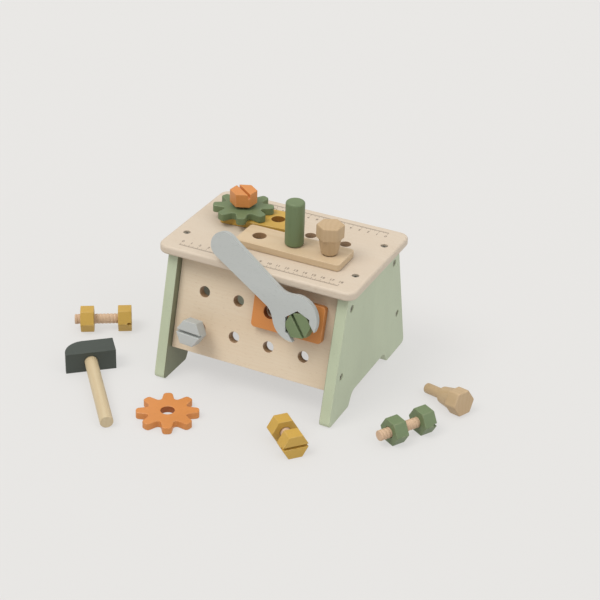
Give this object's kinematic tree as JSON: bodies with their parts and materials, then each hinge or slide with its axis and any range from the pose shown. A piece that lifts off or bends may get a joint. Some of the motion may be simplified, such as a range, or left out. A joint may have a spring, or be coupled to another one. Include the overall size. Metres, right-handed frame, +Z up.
{
  "type": "toy workbench",
  "caption": "Wooden toy workbench with sloped peg-hole panels, hexagonal bolts and nuts, plates, gears, pegs, screwdriver, wrench and hammer.",
  "frame": {"origin": "on the floor, under the middle of the bounding box of the bench and the pieces beside it", "axes": "+X along the bench to the right of someone at its front, +Y from front to back, +Z up"},
  "size_m": [0.4548, 0.3056, 0.2051],
  "materials": {
    "board": "clear-coated beech, satin",
    "panel": "clear-coated plywood, satin",
    "sage": "sage green paint on wood, satin",
    "beech": "bare beech, fine grain",
    "yellow": "yellow paint on wood, satin",
    "orange": "orange paint on wood, satin",
    "green": "green paint on wood, satin",
    "grey": "light grey paint on wood, satin",
    "slate": "dark slate paint on wood, satin",
    "steel": "blackened countersunk screws"
  },
  "bodies": {
    "bench": {"top_board": "board", "left_side_panel": "sage", "right_side_panel": "sage", "front_panel": "panel", "back_panel": "panel", "carry_rail": "green", "top_screw_1": "steel", "top_screw_2": "steel", "top_screw_3": "steel", "top_screw_4": "steel", "left_screw_1": "steel", "left_screw_2": "steel", "left_screw_3": "steel", "left_screw_4": "steel", "right_screw_1": "steel", "right_screw_2": "steel", "right_screw_3": "steel", "right_screw_4": "steel"},
    "yellow_plate": {"yellow_plate": "yellow"},
    "green_gear": {"green_gear": "green"},
    "orange_bolt": {"orange_bolt_head": "orange", "orange_bolt_shaft": "beech"},
    "orange_bolt_nut": {"orange_bolt_nut": "orange"},
    "natural_plate": {"natural_plate": "beech"},
    "screwdriver": {"screwdriver_handle": "green", "screwdriver_blade": "grey"},
    "hex_peg": {"hex_peg": "beech"},
    "orange_plate": {"orange_plate": "orange"},
    "green_bolt": {"green_bolt_head": "green", "green_bolt_shaft": "beech"},
    "green_bolt_nut": {"green_bolt_nut": "green"},
    "wrench": {"wrench": "grey"},
    "grey_bolt": {"grey_bolt_head": "grey", "grey_bolt_shaft": "beech"},
    "grey_bolt_nut": {"grey_bolt_nut": "grey"},
    "orange_gear": {"orange_gear": "orange"},
    "hammer": {"hammer_head": "slate", "hammer_handle": "beech"},
    "long_yellow_bolt": {"long_yellow_bolt_head": "yellow", "long_yellow_bolt_shaft": "beech"},
    "long_yellow_bolt_nut": {"long_yellow_bolt_nut": "yellow"},
    "short_yellow_bolt": {"short_yellow_bolt_head": "yellow", "short_yellow_bolt_shaft": "beech"},
    "short_yellow_bolt_nut": {"short_yellow_bolt_nut": "yellow"},
    "loose_green_bolt": {"loose_green_bolt_head": "green", "loose_green_bolt_shaft": "beech"},
    "loose_green_bolt_nut": {"loose_green_bolt_nut": "green"},
    "loose_peg": {"loose_peg": "beech"}
  },
  "joints": [
    {"name": "orange_bolt_turn", "type": "hinge", "parent": "bench", "child": "orange_bolt", "pos_m": [-0.05334, 0.07494, 0.167], "axis": [0, 0, 1], "range_deg": [0, 900]},
    {"name": "orange_nut_travel", "type": "slide", "parent": "bench", "child": "orange_bolt_nut", "axis": [0, 0, -1], "range_m": [0, 0.01]},
    {"name": "green_gear_spin", "type": "hinge", "parent": "bench", "child": "green_gear", "pos_m": [-0.05334, 0.07494, 0.16], "axis": [0, 0, 1], "continuous": true},
    {"name": "yellow_plate_swing", "type": "hinge", "parent": "bench", "child": "yellow_plate", "pos_m": [-0.05334, 0.07494, 0.152], "axis": [0, 0, 1], "range_deg": [-4, 265]},
    {"name": "natural_plate_lift", "type": "slide", "parent": "bench", "child": "natural_plate", "axis": [0, 0, 1], "range_m": [0, 0.08]},
    {"name": "screwdriver_lift", "type": "slide", "parent": "natural_plate", "child": "screwdriver", "axis": [0, 0, 1], "range_m": [0, 0.12]},
    {"name": "hex_peg_lift", "type": "slide", "parent": "natural_plate", "child": "hex_peg", "axis": [0, 0, 1], "range_m": [0, 0.05]},
    {"name": "orange_plate_swing", "type": "hinge", "parent": "bench", "child": "orange_plate", "pos_m": [0.06666, -0.01012, 0.1], "axis": [0, -0.9686, 0.2487], "range_deg": [-15, 90]},
    {"name": "green_bolt_turn", "type": "hinge", "parent": "bench", "child": "green_bolt", "pos_m": [0.06666, -0.01012, 0.1], "axis": [0, -0.9686, 0.2487], "range_deg": [-120, 30]},
    {"name": "green_nut_travel", "type": "slide", "parent": "bench", "child": "green_bolt_nut", "axis": [0, 0.9686, -0.2487], "range_m": [-0.0015, 0.0005]},
    {"name": "wrench_pull", "type": "slide", "parent": "green_bolt", "child": "wrench", "axis": [-0.6157, 0.196, 0.7633], "range_m": [0, 0.05]},
    {"name": "grey_bolt_turn", "type": "hinge", "parent": "bench", "child": "grey_bolt", "pos_m": [-0.05334, -0.02, 0.0615], "axis": [0, -0.9686, 0.2487], "range_deg": [0, 900]},
    {"name": "grey_nut_travel", "type": "slide", "parent": "bench", "child": "grey_bolt_nut", "axis": [0, 0.9686, -0.2487], "range_m": [0, 0.01]},
    {"name": "orange_gear_lift", "type": "slide", "parent": "bench", "child": "orange_gear", "axis": [0, 0, 1], "range_m": [0, 0.15]},
    {"name": "hammer_lift", "type": "slide", "parent": "bench", "child": "hammer", "axis": [0, 0, 1], "range_m": [0, 0.15]},
    {"name": "long_yellow_bolt_lift", "type": "slide", "parent": "bench", "child": "long_yellow_bolt", "axis": [0, 0, 1], "range_m": [0, 0.15]},
    {"name": "short_yellow_bolt_lift", "type": "slide", "parent": "bench", "child": "short_yellow_bolt", "axis": [0, 0, 1], "range_m": [0, 0.15]},
    {"name": "loose_green_bolt_lift", "type": "slide", "parent": "bench", "child": "loose_green_bolt", "axis": [0, 0, 1], "range_m": [0, 0.15]},
    {"name": "loose_peg_lift", "type": "slide", "parent": "bench", "child": "loose_peg", "axis": [0, 0, 1], "range_m": [0, 0.15]},
    {"name": "long_yellow_bolt_nut_travel", "type": "slide", "parent": "long_yellow_bolt", "child": "long_yellow_bolt_nut", "axis": [-0.8554, -0.518, 0], "range_m": [-0.026, 0.006]},
    {"name": "short_yellow_bolt_nut_travel", "type": "slide", "parent": "short_yellow_bolt", "child": "short_yellow_bolt_nut", "axis": [-0.7431, 0.6691, 0], "range_m": [-0.0125, 0.0018]},
    {"name": "loose_green_bolt_nut_travel", "type": "slide", "parent": "loose_green_bolt", "child": "loose_green_bolt_nut", "axis": [-0.5165, -0.8563, 0], "range_m": [-0.02, 0.012]}
  ],
  "couplings": [
    {"joint": "orange_nut_travel", "follows": "orange_bolt_turn", "m_per_rad": 0.00063662},
    {"joint": "green_nut_travel", "follows": "green_bolt_turn", "m_per_rad": 0.00063662},
    {"joint": "grey_nut_travel", "follows": "grey_bolt_turn", "m_per_rad": 0.00063662}
  ]
}
